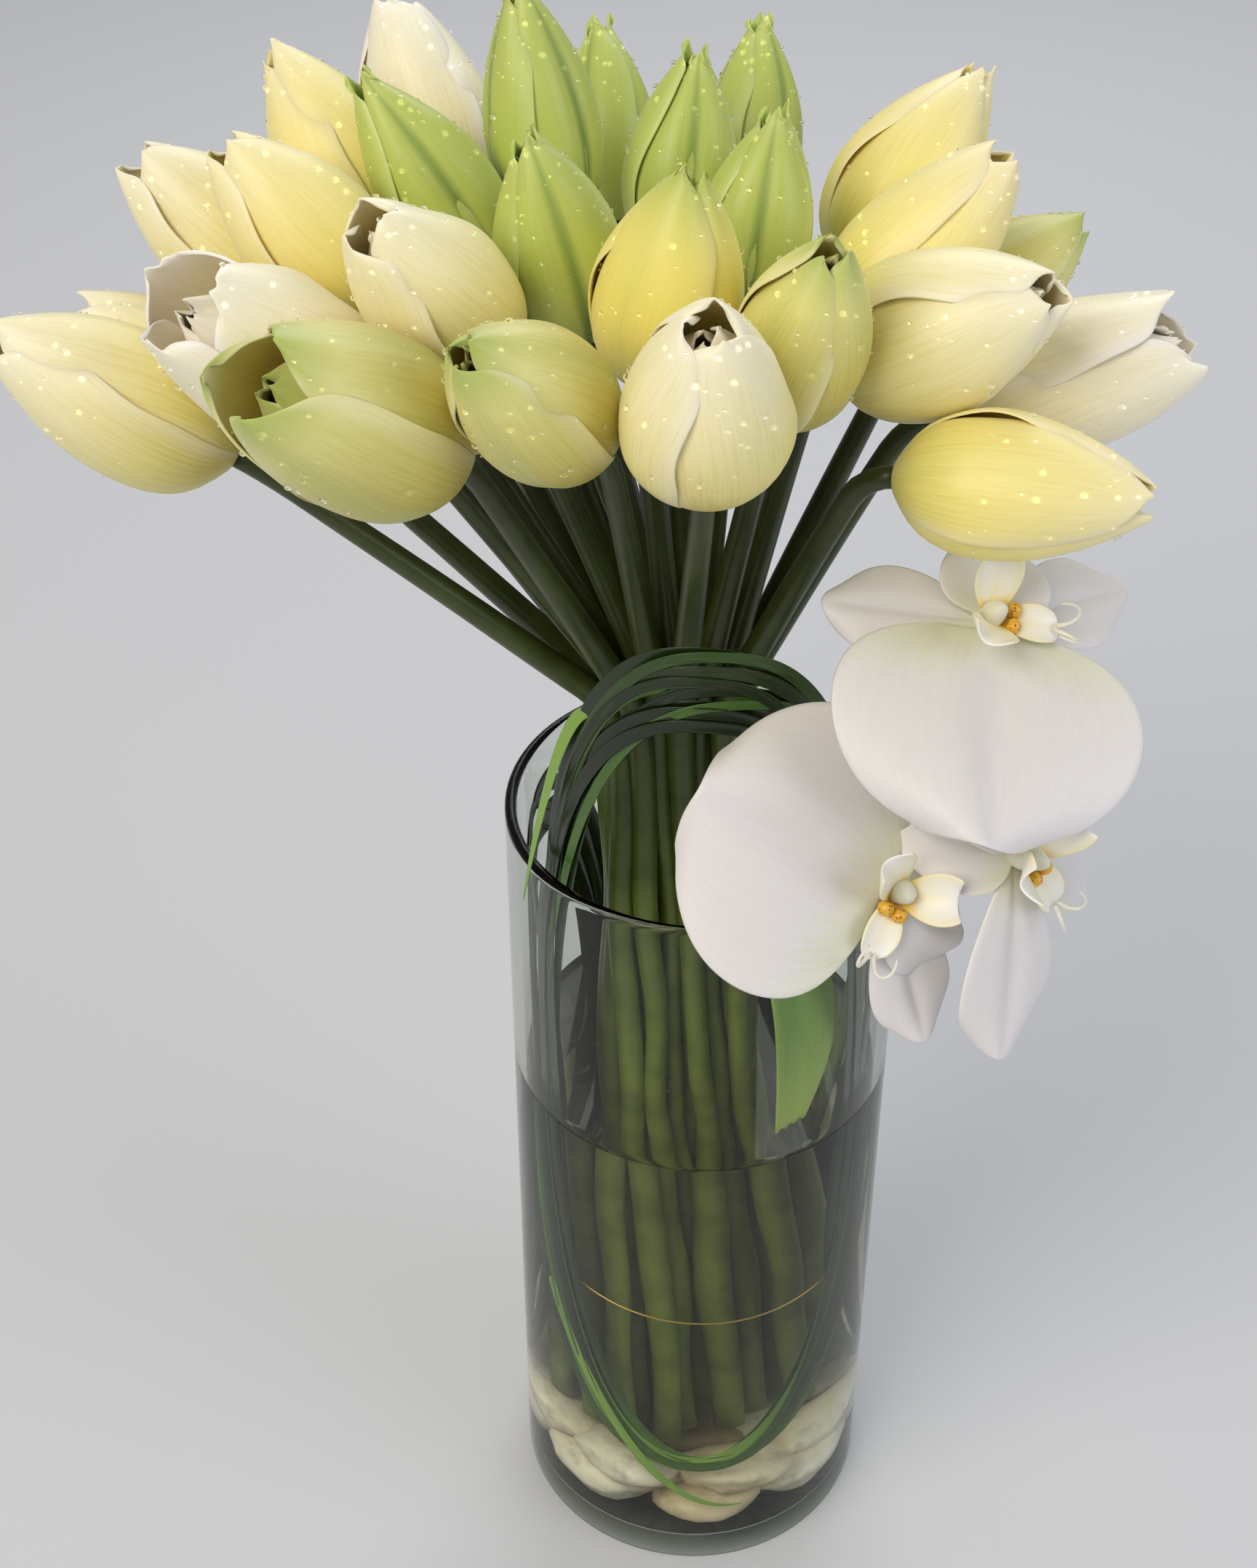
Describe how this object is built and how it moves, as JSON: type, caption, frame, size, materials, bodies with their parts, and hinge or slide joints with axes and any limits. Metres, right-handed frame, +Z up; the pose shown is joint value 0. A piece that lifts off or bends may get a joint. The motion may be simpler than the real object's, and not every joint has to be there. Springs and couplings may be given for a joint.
{
  "type": "vase of flowers",
  "caption": "Cut tulips in a clear glass cylinder vase with water, river stones, looped grass blades and a spray of white moth orchids at the rim.",
  "frame": {"origin": "centre of the vase's foot, on the surface it stands on", "axes": "+Z up along the vase; -Y towards the orchids and the grass loops, the side seen first; +X to the right of that side"},
  "size_m": [0.3174, 0.2864, 0.5281],
  "materials": {
    "clear_glass": "clear polished glass",
    "water": "clear still water",
    "river_stone": "smooth worn stone, pale beige and grey",
    "tulip_stem": "fresh green stem, satin",
    "tulip_cream": "fresh petal, satin, cream",
    "tulip_white": "fresh petal, satin, white",
    "tulip_yellow": "fresh petal, satin, soft yellow",
    "tulip_lime": "fresh petal, satin, yellow-green",
    "tulip_green": "closed bud, satin, green",
    "lily_grass": "glossy dark green blade",
    "orchid_petal": "thick matte white petal",
    "orchid_stalk": "fresh green stalk, satin"
  },
  "bodies": {
    "root": {"vase": "clear_glass", "water": "water", "river_stones": "river_stone", "tulip_stems": "tulip_stem", "tulip_01_far_left": "tulip_cream", "tulip_02_left_under": "tulip_cream", "tulip_03_left_high": "tulip_cream", "tulip_04_left_white": "tulip_white", "tulip_05_left_front": "tulip_lime", "tulip_06_left_gold": "tulip_yellow", "tulip_07_back_left": "tulip_yellow", "tulip_08_back_white": "tulip_white", "tulip_09_green_left": "tulip_green", "tulip_10_mid_left": "tulip_cream", "tulip_11_front_left": "tulip_lime", "tulip_12_green_front": "tulip_green", "tulip_13_green_tall": "tulip_green", "tulip_14_green_back": "tulip_green", "tulip_15_green_mid": "tulip_green", "tulip_16_green_back": "tulip_green", "tulip_17_centre": "tulip_yellow", "tulip_18_green_right": "tulip_green", "tulip_19_front_white": "tulip_cream", "tulip_20_front_right": "tulip_lime", "tulip_21_back_right": "tulip_yellow", "tulip_22_right_high": "tulip_yellow", "tulip_23_right_lime": "tulip_lime", "tulip_24_right_cream": "tulip_cream", "tulip_25_far_right": "tulip_white", "tulip_26_right_low": "tulip_yellow", "tulip_27_behind_left": "tulip_cream", "tulip_28_behind_right": "tulip_lime", "grass_loops": "lily_grass", "orchid_stalk": "orchid_stalk", "orchid_front": "orchid_petal", "orchid_top": "orchid_petal", "orchid_side": "orchid_petal"}
  },
  "joints": []
}
